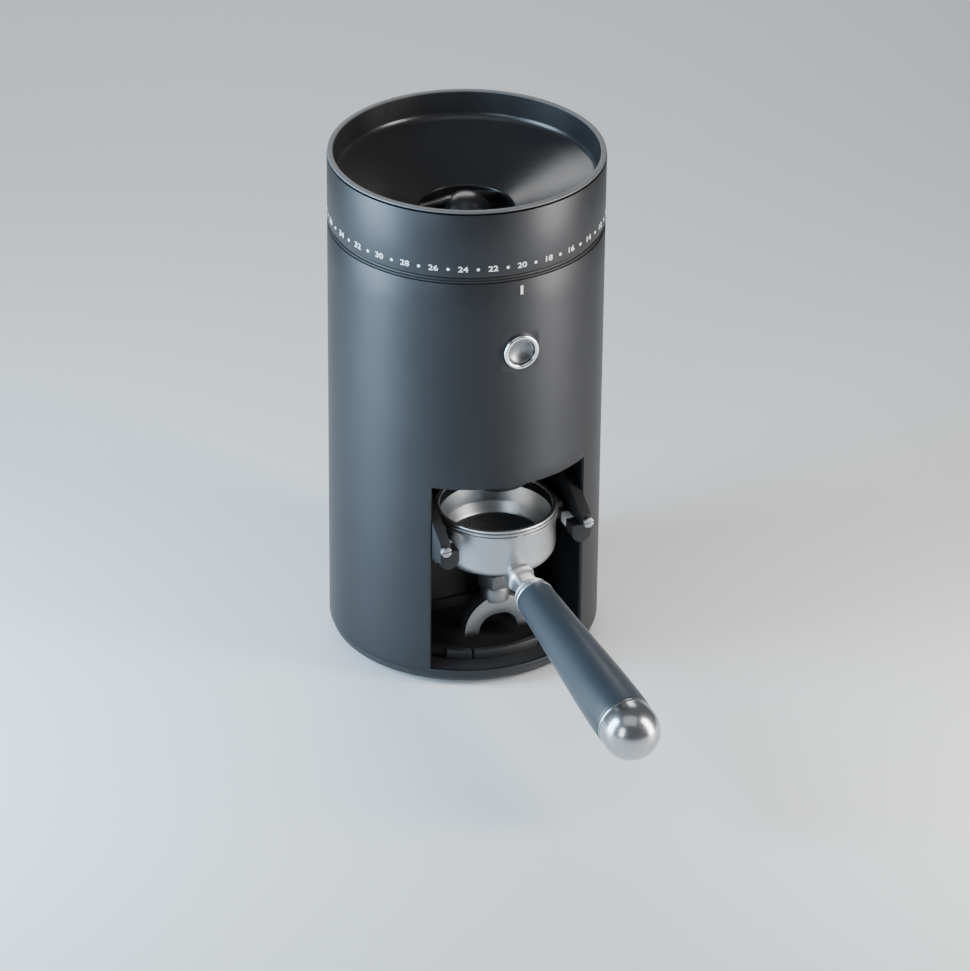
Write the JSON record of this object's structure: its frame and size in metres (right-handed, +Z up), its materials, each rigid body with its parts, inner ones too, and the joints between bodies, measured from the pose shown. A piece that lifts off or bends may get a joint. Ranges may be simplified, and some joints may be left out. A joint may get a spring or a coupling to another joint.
{
  "type": "burr coffee grinder",
  "caption": "Upright cylindrical burr coffee grinder with a turning hopper ring, a start button, a bay with a fork, and a docked portafilter.",
  "frame": {"origin": "centre of the foot ring's underside, on the burr axis", "axes": "+Z up along the burr axis, -Y towards the front with the button, bay and handle"},
  "size_m": [0.15, 0.3142, 0.293],
  "materials": {
    "black_anodised": "satin black anodised, finely brushed",
    "black_plastic": "fine moulded texture",
    "hopper_plastic": "satin, semi-gloss",
    "bay_plastic": "moulded satin",
    "foot_rubber": "matt",
    "pad_rubber": "matt grey silicone",
    "bright_trim": "satin chrome",
    "button_metal": "spun satin",
    "polished_steel": "polished",
    "brushed_steel": "brushed",
    "burr_steel": "ground tool steel",
    "raw_aluminium": "die cast",
    "brass": "turned",
    "grip_soft": "soft-touch charcoal",
    "gear_nylon": "natural nylon",
    "board_green": "solder mask",
    "magnet_grey": "sintered ferrite"
  },
  "bodies": {
    "housing": {"foot_ring": "foot_rubber", "base_plate": "black_plastic", "base_screws": "brushed_steel", "outer_shell": "black_anodised", "bay_liner": "bay_plastic", "cup_locator": "black_plastic", "top_collar": "black_plastic", "glide_ring": "gear_nylon", "deck_plate": "raw_aluminium", "frame_rods": "brushed_steel", "frame_screws": "brushed_steel", "motor_plate": "raw_aluminium", "gear_cover": "black_plastic", "motor_can": "brushed_steel", "motor_end_bell": "black_plastic", "motor_magnets": "magnet_grey", "lower_bearing": "brushed_steel", "upper_bearing": "brushed_steel", "grind_chamber": "raw_aluminium", "grounds_chute": "black_plastic", "chute_spout": "black_plastic", "control_board": "board_green", "board_parts": "black_plastic", "button_bezel": "bright_trim", "microswitch": "black_plastic", "button_bellows": "foot_rubber", "power_inlet": "black_plastic", "inlet_pins": "brass", "holder_rail": "black_plastic"},
    "adjusting_head": {"adjust_ring": "black_anodised", "hopper": "hopper_plastic", "ring_flange": "black_plastic", "ring_posts": "brushed_steel", "hub_guard": "hopper_plastic"},
    "upper_burr_set": {"upper_burr_carrier": "raw_aluminium", "upper_burr": "burr_steel", "upper_burr_screws": "brushed_steel"},
    "burr_drive": {"drive_shaft": "brushed_steel", "lower_burr_carrier": "raw_aluminium", "lower_burr": "burr_steel", "lower_burr_screws": "brushed_steel", "feed_auger": "burr_steel", "drive_gear": "gear_nylon"},
    "motor_drive": {"motor_shaft": "brushed_steel", "motor_rotor": "magnet_grey", "motor_pinion": "brass"},
    "button": {"start_button": "button_metal"},
    "holder": {"holder_bracket": "black_plastic", "holder_pads": "pad_rubber", "holder_screws": "polished_steel"},
    "portafilter": {"portafilter_body": "polished_steel", "filter_basket": "polished_steel", "basket_clip": "brushed_steel", "spout_nut": "polished_steel", "double_spout": "brushed_steel", "handle_neck": "polished_steel", "handle_collar": "polished_steel", "handle_grip": "grip_soft", "handle_rod": "brushed_steel", "end_ball": "polished_steel"}
  },
  "joints": [
    {"name": "ring_turn", "type": "hinge", "parent": "housing", "child": "adjusting_head", "pos_m": [0, 0, 0.27], "axis": [0, 0, 1], "range_deg": [-122, 122]},
    {"name": "burr_lift", "type": "slide", "parent": "adjusting_head", "child": "upper_burr_set", "axis": [0, 0, 1], "range_m": [-0.0007, 0.0007]},
    {"name": "burr_spin", "type": "hinge", "parent": "housing", "child": "burr_drive", "pos_m": [0, 0, 0.19], "axis": [0, 0, 1], "continuous": true},
    {"name": "motor_spin", "type": "hinge", "parent": "housing", "child": "motor_drive", "pos_m": [0, 0.03, 0.125], "axis": [0, 0, 1], "continuous": true},
    {"name": "button_press", "type": "slide", "parent": "housing", "child": "button", "axis": [0, 1, 0], "range_m": [0, 0.0015], "stiffness_N_per_m": 400, "springref_m": -0.001, "deforming": ["button_bellows"]},
    {"name": "holder_pull", "type": "slide", "parent": "housing", "child": "holder", "axis": [0, -1, 0], "range_m": [0, 0.12]},
    {"name": "portafilter_pull", "type": "slide", "parent": "holder", "child": "portafilter", "axis": [0, -1, 0], "range_m": [0, 0.2]}
  ],
  "couplings": [
    {"joint": "burr_lift", "follows": "ring_turn", "m_per_rad": 0.00031831},
    {"joint": "motor_spin", "follows": "burr_spin", "ratio": -4}
  ]
}
